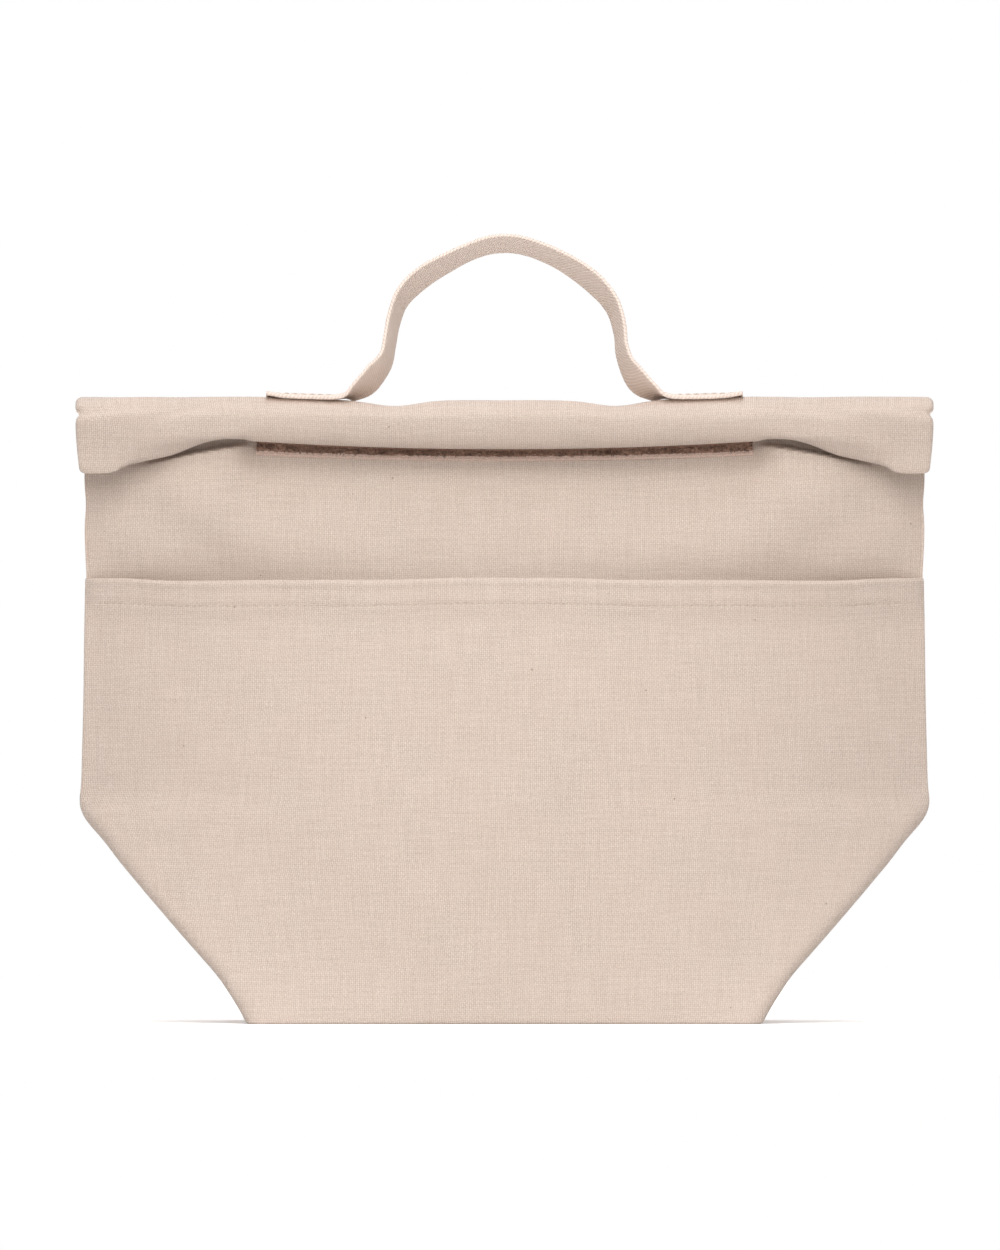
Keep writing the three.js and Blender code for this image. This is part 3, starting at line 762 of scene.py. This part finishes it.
def pocketPlace(share, row):
    z, inward = row
    x, depth = bodyPoint(share, z, -1)
    onFace = clamp(depth - form["frontDepth"] * clamp(1 - z / form["gussetHeight"]))
    gape = pocket["gape"] * (1 - clamp(abs(x) / halfWidthAt(z)) ** 2) * (z / pocketTop) ** 1.5 * onFace
    ease = softness(share, z) * pocket["ease"] * (1 + noiseAt(x / 42, z / 38, 8.8))
    x, depth = bodyPoint(share, z, -1, pocketStand(share, z) - inward)
    return x, -max(depth + gape + ease + slack(share, z, -1), form["seamGap"] / 2), z - topSag(x, z)


# A row is a height and how far the cloth is turned in there
def pocketRows():
    radius = pocket["hemRound"]
    straight = pocketTop - radius
    face = footRows + steps(3, 163, 76) + steps(163, 171, 18)[1:] + steps(171, straight, 4)[1:]
    rows = [(z, 0.0) for z in face]
    for turn in steps(0, pi, 8)[1:]:
        rows.append((straight + radius * sin(turn), radius * (1 - cos(turn))))
    return rows + [(z, 2 * radius) for z in steps(straight, pocket["hemLow"] - 0.8, 6)[1:]]


def pocketUv(share, row):
    z, inward = row
    flatHeight = z if inward < pocket["hemRound"] else 2 * pocketTop - z
    return share * form["clothHalf"] + pocket["uvShift"][0], flatHeight + pocket["uvShift"][1]


pocketCloth = clothPiece("pocketCloth", frontColumns, pocketRows(), pocketPlace, pocketUv, *canvas, "pocket_panel")
print("pocket made")


# Stitches: one short bent length of thread each, laid along a line of points
stitch = {"length": 2.5, "uneven": 0.08, "pitch": 3.3, "radius": 0.24, "bow": 0.12, "sink": 0.07}


def addStitch(shape, place, direction, outward, length):
    made = bmesh.ops.create_icosphere(shape, subdivisions=1, radius=1.0)
    side = outward.cross(direction).normalized()
    for vertex in made["verts"]:
        x, y, z = vertex.co
        offset = direction * (x * length / 2) + side * (y * stitch["radius"])
        offset += outward * (z * stitch["radius"] + stitch["bow"] * (1 - x * x) - stitch["sink"])
        vertex.co = (place + offset) * mm


# One thread: stitches along each line of points, on the side that outward shows
def stitching(name, lines, outward, *nodes):
    shape = bmesh.new()
    for points in lines:
        for a, b in zip(points, points[1:]):
            direction = b - a
            count = max(1, round(direction.length / stitch["pitch"]))
            for i in range(count):
                place = a.lerp(b, (i + 0.5) / count)
                length = stitch["length"] * (1 + stitch["uneven"] * noise.noise(place * 0.7))
                addStitch(shape, place, direction.normalized(), outward, length)
    piece = meshObject(name, shape, cottonThread)
    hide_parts(*nodes)
    return piece


hemLine = [Vector(pocketPlace(share, (pocket["stitchHeight"], 0.0))) for share in steps(-0.985, 0.985, 60)]
hemStitching = stitching("hemStitching", [hemLine], Vector((0, -1, 0)), "pocket_hem_stitching")


# Loop tape on the neck: a woven ground with a pale selvedge, its pink partly painted shade for the thin shadow line
# under the tape, and the brown pile, darkened with painted shade, that shows under the roll
loop = {"half": 99.4, "front": -7.5, "bottom": 224.4, "rise": 2.3, "top": 241.6, "thickness": 0.5, "width": 16,
        "selvedge": 1.8, "edgeDip": 0.4, "groove": 0.25, "grooveAt": 0.9, "grooveWidth": 0.35, "groundStand": 0.2,
        "stitchHalf": 98.5, "stitchRise": 0.75, "stitchStand": 0.15}
nap = {"inset": 0.3, "top": 240.5, "width": 14, "hiddenFrom": (231, 234), "base": 0.25, "pile": 1.0, "ragged": 0.35,
       "stand": 0.05, "thickness": 0.2}


def tapeBottom(x):
    return loop["bottom"] + loop["rise"] * (x / loop["half"]) ** 2


def tapePlace(x, row):
    z = mix(tapeBottom(x), loop["top"], row)
    rise = z - tapeBottom(x)
    groove = loop["groove"] * hump(loop["grooveAt"], loop["grooveWidth"], rise)
    y = loop["front"] + loop["edgeDip"] * (1 - smooth(0, 0.5, rise)) - groove
    return x, y - (loop["groundStand"] if rise > loop["selvedge"] else 0), z


tapeRows = [0, 0.02, 0.04, 0.06, 0.08, 0.1, 0.12, 0.2, 0.5, 1]
loopTape = clothPiece("loopTape", steps(-loop["half"], loop["half"], 160), tapeRows, tapePlace,
                      lambda x, row: (x, row * loop["width"]), tapeSelvedge, loop["thickness"], "loop_strip")


def pilePlace(x, row):
    low = tapeBottom(x) + loop["selvedge"] + nap["ragged"] * noiseAt(x / 1.7, 0.4)
    z = mix(low, nap["top"], row)
    shown = 1 - smooth(*nap["hiddenFrom"], z)
    rough = 0.5 + 0.9 * noiseAt(x / 0.9, z / 0.9, 1.0) + 0.5 * noiseAt(x / 4, z / 3, 6.0)
    height = (nap["base"] + nap["pile"] * shown * clamp(rough, 0.1, 1.2)) * smooth(-0.2, 0.5, z - low)
    return x, loop["front"] - nap["stand"] - height, z


pileRows = [0, 0.02, 0.04, 0.07] + [0.1 + 0.03 * i for i in range(14)] + [0.6, 0.8, 1]
pileHalf = loop["half"] - nap["inset"]
loopNap = clothPiece("loopNap", steps(-pileHalf, pileHalf, 480), pileRows, pilePlace,
                     lambda x, row: (x, row * nap["width"]), loopPile, nap["thickness"])


# Single loops of the nap, which make its edges ragged
tuft = {"count": 2400, "seed": 7, "inset": 0.4, "top": 232.6, "crowding": 1.4, "back": 0.5, "lean": (0.8, -0.8, 0.7),
        "length": (0.6, 1.6), "radii": (0.16, 0.05)}


def addTuft(shape, place, lean, length):
    thick, thin = tuft["radii"]
    made = bmesh.ops.create_cone(shape, cap_ends=True, segments=4, radius1=thick, radius2=thin, depth=1.0)
    for vertex in made["verts"]:
        x, y, z = vertex.co
        vertex.co = (place + Vector((x, 0, y)) + lean * ((z + 0.5) * length)) * mm


tuftShape = bmesh.new()
chance = random.Random(tuft["seed"])
leanX, leanY, leanZ = tuft["lean"]
for i in range(tuft["count"]):
    x = chance.uniform(-loop["half"] + tuft["inset"], loop["half"] - tuft["inset"])
    z = mix(tapeBottom(x) + loop["selvedge"], tuft["top"], chance.random() ** tuft["crowding"])
    turn = chance.uniform(0, 2 * pi)
    lean = Vector((leanX * cos(turn), leanY, leanZ * sin(turn))).normalized()
    addTuft(tuftShape, Vector((x, loop["front"] - tuft["back"], z)), lean, chance.uniform(*tuft["length"]))
loopTufts = meshObject("loopTufts", tuftShape, loopPile)

loopLine = [Vector((x, loop["front"] - loop["stitchStand"], tapeBottom(x) + loop["stitchRise"]))
            for x in steps(-loop["stitchHalf"], loop["stitchHalf"], 20)]
loopStitching = stitching("loopStitching", [loopLine], Vector((0, -1, 0)), "loop_strip_stitching")


# Hook tape on the outside of the mouth, facing the loop tape when the bag is rolled
hook = {"half": 98, "stand": 0.75, "bristle": 0.15, "thickness": 0.5}


def hookPlace(x, i):
    (y, z), (yBefore, zBefore) = (outerSection(round(x, 3))[k] for k in (i, i - 1))
    along = Vector((y - yBefore, z - zBefore)).normalized()
    stand = hook["stand"] + hook["bristle"] * noiseAt(x / 0.8, i * 1.3, 3.0)
    return x, y + along.y * stand, z - along.x * stand


hookTape = clothPiece("hookTape", steps(hook["half"], -hook["half"], 320), list(range(mark["hook"], mark["last"])),
                      hookPlace, lambda x, i: (x, rollLengths(round(x, 3), 1)[i]), hookPile, hook["thickness"],
                      "hook_strip")
print("tapes made")


# The handle: one length of webbing, box stitched to the ridge at both feet, that stands up and leans back a little
handle = {
    "width": 22, "thickness": 1.9,
    "middleY": (edgeOf("left_handle_foot", 0, "y") + edgeOf("left_handle_foot", 1, "y")) / 2, "hingeHeight": 250.3,
    "lean": 12, "leanOver": (1, 14), "crownLean": 5, "crownOver": (36, 58), "bendLean": 20, "bendAt": 4.5,
    "bendWidth": 5.5, "twist": 9.5, "twistOver": (1, 9), "untwistOver": (44, 60), "droop": 0.55,
    "droopOver": (0.5, 4), "edgeOver": (7.8, 10.0), "knot": 0.05, "knotPitch": 1.7,
    "line": [(-95.2, 251.1), (-88, 250.6), (-78, 250.3), (-67, 250.2), (-60.3, 252.3), (-53.4, 257.2), (-47.7, 264.4),
             (-45.9, 272.5), (-44.3, 281), (-40.8, 290.0), (-33.2, 297.6), (-21.8, 304.4), (-9.6, 309.9), (0.2, 311.5),
             (9.9, 310.0), (22.4, 304.7), (34.8, 296.4), (42.8, 287.4), (46.1, 277.5), (47.1, 268.4), (50.6, 259.6),
             (57.6, 253.5), (65.4, 250.6), (76, 250.25), (88, 250.6), (95.2, 251.1)],
    "samples": 9, "around": 36,
}


# A smooth line through the handle's points
def handleLine():
    points = handle["line"]
    first = (2 * points[0][0] - points[1][0], points[0][1])
    last = (2 * points[-1][0] - points[-2][0], points[-1][1])
    padded = [first, *points, last]
    line = []
    for four in zip(padded, padded[1:], padded[2:], padded[3:]):
        for s in steps(0, 1, handle["samples"])[:-1]:
            weights = (-s ** 3 + 2 * s * s - s, 3 * s ** 3 - 5 * s * s + 2, -3 * s ** 3 + 4 * s * s + s, s ** 3 - s * s)
            line.append(weigh([w / 2 for w in weights], four))
    return line + [points[-1]]


strapLine = handleLine()
strapLengths = lengthsOf(strapLine)


# Centre, width direction and outward direction of the strap at one of its points
def strapFrame(i):
    x, z = strapLine[i]
    ahead = strapLine[min(i + 1, len(strapLine) - 1)]
    behind = strapLine[max(i - 1, 0)]
    along = Vector((ahead[0] - behind[0], ahead[1] - behind[1])).normalized()
    rise = max(z - handle["hingeHeight"], 0)
    bend = handle["bendLean"] * hump(handle["bendAt"], handle["bendWidth"], rise) * smooth(0, 2, rise)
    lean = handle["lean"] * smooth(*handle["leanOver"], rise) + handle["crownLean"] * smooth(*handle["crownOver"], rise)
    angle = radians(lean + bend)
    up = Vector((0, sin(angle), cos(angle)))
    wide = Vector((0, cos(angle), -sin(angle)))
    tangent = (Vector((1, 0, 0)) * along.x + up * along.y).normalized()
    outward = tangent.cross(wide).normalized()
    twisted = smooth(*handle["twistOver"], rise) * (1 - smooth(*handle["untwistOver"], rise))
    twist = radians(handle["twist"]) * twisted
    tilted = (wide * cos(twist) - outward * sin(twist)).normalized()
    centre = Vector((x, handle["middleY"] + rise * tan(radians(handle["lean"])), z))
    return centre, tilted, tangent.cross(tilted).normalized()


# The strap's rounded flat section, starting at its back edge
def strapEdge(turn):
    wide, high = cos(2 * pi * turn), sin(2 * pi * turn)
    return (copysign(abs(wide) ** 0.5, wide) * handle["width"] / 2,
            copysign(abs(high) ** 0.42, high) * handle["thickness"] / 2)


# How far the feet droop over the round ridge
def footDroop(across):
    return handle["droop"] * (across / (handle["width"] / 2)) ** 2


def strapPlace(turn, i):
    centre, wide, outward = strapFrame(i)
    across, high = strapEdge(turn)
    edge = smooth(*handle["edgeOver"], abs(across))
    rise = max(centre.z - handle["hingeHeight"], 0)
    drape = footDroop(across) * (1 - smooth(*handle["droopOver"], rise))
    knot = handle["knot"] * edge * sin(strapLengths[i] * 2 * pi / handle["knotPitch"] + across)
    return centre + wide * (across + knot) + outward * (high * (1 + 0.1 * edge) + knot) - Vector((0, 0, drape))


strapTurns = steps(0, 1, handle["around"])
strapRound = lengthsOf([strapEdge(turn) for turn in strapTurns])
handleStrap = gridPiece("handleStrap", strapTurns, list(range(len(strapLine))), strapPlace,
                        lambda turn, i: (strapRound[round(turn * handle["around"])], strapLengths[i]), cottonWebbing)


def closeTube(piece):
    shape = bmesh.new()
    shape.from_mesh(piece.data)
    bmesh.ops.remove_doubles(shape, verts=shape.verts[:], dist=0.00001)
    bmesh.ops.holes_fill(shape, edges=[e for e in shape.edges if e.is_boundary], sides=0)
    bmesh.ops.recalc_face_normals(shape, faces=shape.faces[:])
    shape.to_mesh(piece.data)
    shape.free()
    piece.data.shade_smooth()


closeTube(handleStrap)
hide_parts("handle_loop", "left_handle_foot", "right_handle_foot", "left_handle_rise",
            "right_handle_rise")

# Box stitching with a cross on each foot
seam = {"near": 68.5, "far": 92, "half": 7.6, "height": 0.93}


def footPoint(side, x, across):
    i = min(range(len(strapLine)), key=lambda k: abs(strapLine[k][0] - side * x))
    top = strapLine[i][1] + handle["thickness"] / 2 * seam["height"] - footDroop(across)
    return Vector((side * x, handle["middleY"] + across, top))


def footStitching(name, side, node):
    near, far, half = seam["near"], seam["far"], seam["half"]
    box = [(near, -half), (far, -half), (far, half), (near, half), (near, -half), (far, half)]
    lines = [[footPoint(side, *corner) for corner in corners] for corners in (box, [(near, half), (far, -half)])]
    return stitching(name, lines, Vector((0, 0, 1)), node)


leftFootStitching = footStitching("leftFootStitching", -1, "left_foot_stitching")
rightFootStitching = footStitching("rightFootStitching", 1, "right_foot_stitching")
print("handle made")


# Inside: foam against the canvas and a foil lining over it, then the base
inside = {"narrow": 0.965, "below": 3, "least": 0.4, "clothHalf": 165, "foamFoot": 1.6, "liningFoot": 6.2,
          "looseFrom": 200, "mouth": 0.5}


def insidePlace(share, z, side, stand):
    near = share * inside["narrow"]
    x, depth = bodyPoint(near, z, side, stand)
    return x, side * max(depth + slack(near, z + inside["below"], side), inside["least"]), z


def insideFlat(share, z):
    return share * inside["clothHalf"], z


# One side's layer of foam or lining
def layer(name, side, foot, stand, material, thickness, node):
    rows = steps(foot, inside["looseFrom"], 56) + steps(inside["looseFrom"], neckTop - inside["mouth"], 24)[1:]
    place = partial(insidePlace, side=side, stand=stand)
    return clothPiece(name, steps(side, -side, 84), rows, place, insideFlat, material, thickness, node)


foamLayer = (inside["foamFoot"], -1.15, foamSheet, 1.9)
liningLayer = (inside["liningFoot"], -3.4, *foil)
frontFoam = layer("frontFoam", -1, *foamLayer, "front_foam")
backFoam = layer("backFoam", 1, *foamLayer, "back_foam")
frontLining = layer("frontLining", -1, *liningLayer, "front_lining")
backLining = layer("backLining", 1, *liningLayer, "back_lining")

# A sheet across the base inside its node's box, with rounded corners, its rim turned up a little
base = {"corner": 0.06, "cornerFrom": 0.9, "rimFrom": 0.96, "sag": 0.1, "under": 0.12}


def baseSheet(name, node, material, thickness, rim, face):
    (lowX, highX), (lowY, highY), (lowZ, highZ) = ([edgeOf(node, end, axis) for end in (0, 1)] for axis in "xyz")
    centreY = (lowY + highY) / 2
    halfX, halfY = (highX - lowX) / 2, (highY - lowY) / 2

    def place(a, b):
        squareness = max(abs(a), abs(b))
        cornered = smooth(base["cornerFrom"], 1, min(abs(a), abs(b)) / (squareness or 1))
        shrink = mix(1, squareness / (hypot(a, b) or 1), base["corner"] * cornered)
        lift = rim * smooth(base["rimFrom"], 1, squareness)
        z = (highZ if face > 0 else lowZ + base["under"]) + face * (base["sag"] * noiseAt(a * 4, b * 3, 2) - lift)
        return a * halfX * shrink, centreY + b * halfY * shrink, z

    return clothPiece(name, steps(-face, face, 64), steps(-1, 1, 64), place, lambda a, b: (a * halfX, b * halfY),
                      material, thickness, node)


baseCloth = baseSheet("baseCloth", "base_panel", cottonCanvas, canvasThickness - 0.2, rim=0.5, face=-1)
baseFoam = baseSheet("baseFoam", "base_foam", foamSheet, 1.8, rim=0.2, face=1)
baseLining = baseSheet("baseLining", "base_lining", *foil, rim=-0.6, face=1)
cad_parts["base_board"].data.materials.clear()
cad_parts["base_board"].data.materials.append(greyBoard)
print("inside and base made")


# What each piece moves with
bagPieces = [pocketCloth, hemStitching, loopTape, loopNap, loopTufts, loopStitching, frontFoam, backFoam, frontLining,
             backLining, baseCloth, baseFoam, baseLining]
for piece in bagPieces:
    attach(piece, "bag")
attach(leftFootStitching, "ridge")
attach(rightFootStitching, "ridge")
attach(lipFoil, "flap")

# Cloth listed with the bodies on either side of a hinge and the start and the end of its turn, as (y, z); here only its
# transform is baked
lipTurn = ((-15.6, 228), (-14.0, 228))
turning = [
    (frontCloth, "bag", "ridge", (0, neckTop + 0.1), (0, neckTop + 1.3)),
    (backCloth, "bag", "ridge", (0, neckTop), (0, neckTop + 2.7)),
    (rollCloth, "ridge", "fold", (ridgeFront, rollTop + 0.5), (-20.6, 241.4)),
    (innerRollCloth, "ridge", "fold", (-13.0, 244.4), (-15.4, 241.9)),
    (rollFoil, "ridge", "fold", (-13.2, 246.2), (-17.4, 241.9)),
    (lipCloth, "fold", "flap", *lipTurn),
    (innerLipCloth, "fold", "flap", (foldInner + 0.05, 230), (flapFront - 0.05, 230)),
    (hookTape, "fold", "flap", *lipTurn),
    (handleStrap, "ridge", "handle", (0, 251.6), (0, 268)),
]
for piece, near, far, start, end in turning:
    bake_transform(piece)


# 1 for a ray that looks at the backdrop from the camera, by reflection or through something clear, and 0 for light
def seenShare(add):
    rays = add("LightPath", take=None).outputs
    mirrored = add("Math MAXIMUM", (rays["Is Glossy Ray"], rays["Is Transmission Ray"]))
    return add("Math MAXIMUM", (rays["Is Camera Ray"], mirrored))


# Paper sweep, white and matt, with fine fibres: it shows pure white and still takes the bag's shadow
floorLook = {"light": "#EFEFEF", "dark": "#EAEAEA", "shown": "#FFFFFF", "glow": 0.35, "size": 1.4}
floorMaterial, add = newMaterial("paper sweep, matt white")
seen = seenShare(add)
fibre = add("TexNoise", {"Vector": add("TexCoord", take="Object"), "Scale": 900.0, "Detail": 2.0})
paper = add("Mix", {"data_type": "RGBA", 0: fibre, 6: floorLook["dark"], 7: floorLook["light"]}, 2)
shade = add("Mix", {"data_type": "RGBA", 0: seen, 6: paper, 7: floorLook["shown"]}, 2)
glow = add("Math MULTIPLY", (seen, floorLook["glow"]))
lit = add("Emission", ("#FFFFFF", glow))
matt = add("BsdfDiffuse", (shade,))
add("OutputMaterial", (add("AddShader", (matt, lit)),), None)
floorShape = bmesh.new()
bmesh.ops.create_grid(floorShape, x_segments=24, y_segments=24, size=floorLook["size"])
meshObject("floor", floorShape, floorMaterial)

studio = {
    "ambient": 0.36, "ambientColour": "#FFF6F0", "target": (0, 0, 0.15),
    "key": {"power": 31, "size": 1.5, "place": (-0.1, -1.6, 2.05)},
    "fill": {"power": 26, "size": 1.3, "place": (-0.1, -3.15, 1.55)},
    "top": {"power": 20, "size": 1.4, "place": (0.0, -0.3, 2.6), "colour": "#EDF3FF"},
    "back": {"power": 26, "size": 2.4, "place": (0.3, 3.0, 1.6)},
}
world = bpy.data.worlds.new("studio light")
bpy.context.scene.world = world
world.use_nodes = True
world.node_tree.nodes.clear()
add = partial(addNode, world.node_tree)
seen = seenShare(add)
skyStrength = add("Mix", {"data_type": "FLOAT", 0: seen, 2: studio["ambient"], 3: 1.0})
skyColour = add("Mix", {"data_type": "RGBA", 0: seen, 6: studio["ambientColour"], 7: "#FFFFFF"}, 2)
sky = add("Background", (skyColour, skyStrength))
add("OutputWorld", (sky,), None)

for name in ("key", "fill", "top", "back"):
    lamp = studio[name]
    light = bpy.data.lights.new(name, "AREA")
    light.shape = "DISK"
    light.energy = lamp["power"]
    light.size = lamp["size"]
    light.color = linear(lamp.get("colour", "#FFFFFF"))[:3]
    stand = addObject(name, light)
    stand.location = lamp["place"]
    stand.rotation_euler = (Vector(studio["target"]) - Vector(lamp["place"])).to_track_quat("-Z", "Y").to_euler()

# A long lens looks straight at the front: the picture is 400 mm wide and 500 mm high at the bag
camera = {"distance": 12.0, "pictureHeight": 0.5, "sensor": 36, "clip": 50, "lookX": -0.0018, "lookZ": 0.1588}
lens = bpy.data.cameras.new("camera")
lens.sensor_fit = "AUTO"
lens.sensor_width = camera["sensor"]
lens.lens = camera["sensor"] * camera["distance"] / camera["pictureHeight"]
lens.clip_end = camera["clip"]
viewer = addObject("camera", lens)
viewer.location = (camera["lookX"], -camera["distance"], camera["lookZ"])
viewer.rotation_euler = (radians(90), 0, 0)
bpy.context.scene.camera = viewer
bpy.context.scene.view_settings.view_transform = "Standard"
print("studio set")
